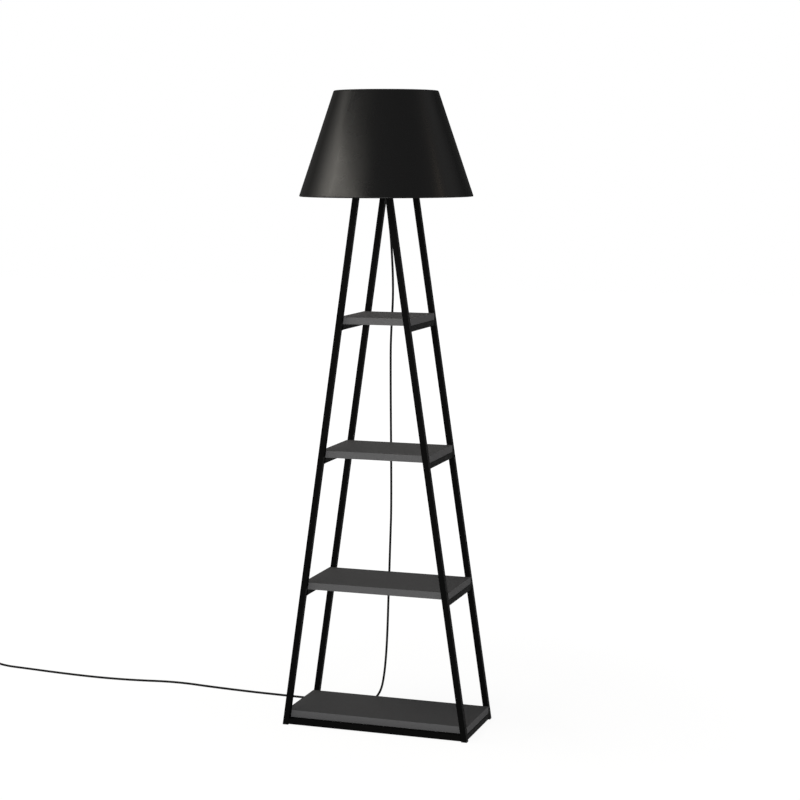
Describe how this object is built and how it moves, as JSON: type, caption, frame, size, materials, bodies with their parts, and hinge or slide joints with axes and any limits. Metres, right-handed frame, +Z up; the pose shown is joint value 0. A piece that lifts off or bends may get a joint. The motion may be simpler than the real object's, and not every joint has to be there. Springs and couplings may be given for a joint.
{
  "type": "shelf floor lamp",
  "caption": "Floor lamp: a tapering black tube frame with dark shelf boards, a black cone shade on top and a cord with foot switch and plug.",
  "frame": {"origin": "on the floor, under the middle of the frame", "axes": "+Z up, +X to the right of someone who faces the front, -Y to the front; the legs lean towards each other along X"},
  "size_m": [1.7813, 0.45, 1.65],
  "materials": {
    "powder_coated_tube": "fine matt black powder coat on steel tube",
    "shelf_board": "anthracite melamine on chipboard",
    "shelf_edging": "anthracite edge strip",
    "zinc_steel": "zinc plated steel",
    "black_plastic": "moulded black plastic",
    "lampholder_plastic": "moulded black phenolic",
    "insulator_ceramic": "unglazed white ceramic",
    "contact_brass": "bare brass",
    "nickel_plate": "nickel plated brass",
    "vitrite": "black glass insulator",
    "bulb_plastic": "white moulded housing",
    "opal_globe": "opal globe",
    "shade_fabric": "black satin cloth laminated on a stiff film",
    "shade_lining": "white stiff film",
    "coated_wire": "white coated steel wire",
    "cord_sheath": "matt black soft PVC",
    "core_insulation": "coloured core insulation",
    "switch_plastic": "moulded black plastic",
    "switch_button_plastic": "polished black plastic",
    "plug_plastic": "moulded black plastic"
  },
  "bodies": {
    "frame": {"front_left_leg": "powder_coated_tube", "front_right_leg": "powder_coated_tube", "back_left_leg": "powder_coated_tube", "back_right_leg": "powder_coated_tube", "front_floor_rail": "powder_coated_tube", "back_floor_rail": "powder_coated_tube", "left_side_rail_1": "powder_coated_tube", "left_side_rail_2": "powder_coated_tube", "left_side_rail_3": "powder_coated_tube", "left_side_rail_4": "powder_coated_tube", "right_side_rail_1": "powder_coated_tube", "right_side_rail_2": "powder_coated_tube", "right_side_rail_3": "powder_coated_tube", "right_side_rail_4": "powder_coated_tube", "left_top_rail": "powder_coated_tube", "right_top_rail": "powder_coated_tube", "top_plate": "powder_coated_tube", "shelf_board_1": "shelf_board", "shelf_board_2": "shelf_board", "shelf_board_3": "shelf_board", "shelf_board_4": "shelf_board", "shelf_edging": "shelf_edging", "shelf_screws": "zinc_steel", "threaded_nipple": "zinc_steel", "lock_nut": "zinc_steel", "switch_screws": "zinc_steel", "switch_spring": "zinc_steel", "feet": "black_plastic", "tube_caps": "black_plastic", "cord_grip": "black_plastic", "lampholder_cap": "lampholder_plastic", "lampholder_skirt": "lampholder_plastic", "lampholder_insulator": "insulator_ceramic", "lampholder_contact": "contact_brass", "lampholder_screw_shell": "contact_brass", "plug_pins": "nickel_plate", "cord_run": "cord_sheath", "cord_link": "cord_sheath", "cord_coil": "cord_sheath", "cord_tail": "cord_sheath", "cord_in_grip": "cord_sheath", "switch_sleeves": "cord_sheath", "cord_cores": "core_insulation", "switch_base": "switch_plastic", "switch_cover": "switch_plastic", "switch_contact_block": "switch_plastic", "plug_body": "plug_plastic"},
    "shade": {"shade_cover": "shade_fabric", "shade_lining": "shade_lining", "shade_top_ring": "coated_wire", "shade_bottom_ring": "coated_wire", "shade_arms": "coated_wire", "shade_fitter": "coated_wire"},
    "ring_nut": {"shade_ring_nut": "lampholder_plastic"},
    "bulb": {"bulb_cap": "nickel_plate", "bulb_contact": "nickel_plate", "bulb_insulator": "vitrite", "bulb_body": "bulb_plastic", "bulb_globe": "opal_globe"},
    "button": {"switch_button": "switch_button_plastic"}
  },
  "joints": [
    {"name": "shade_turn", "type": "hinge", "parent": "frame", "child": "shade", "pos_m": [0, 0, 1.487], "axis": [0, 0, 1], "continuous": true},
    {"name": "ring_nut_turn", "type": "hinge", "parent": "frame", "child": "ring_nut", "pos_m": [0, 0, 1.489], "axis": [0, 0, 1], "range_deg": [0, 3600]},
    {"name": "bulb_turn", "type": "hinge", "parent": "frame", "child": "bulb", "pos_m": [0, 0, 1.49], "axis": [0, 0, 1], "range_deg": [0, 2160]},
    {"name": "button_press", "type": "slide", "parent": "frame", "child": "button", "axis": [0, 0, -1], "range_m": [0, 0.003], "stiffness_N_per_m": 500, "springref_m": -0.003, "deforming": ["switch_spring"]}
  ]
}
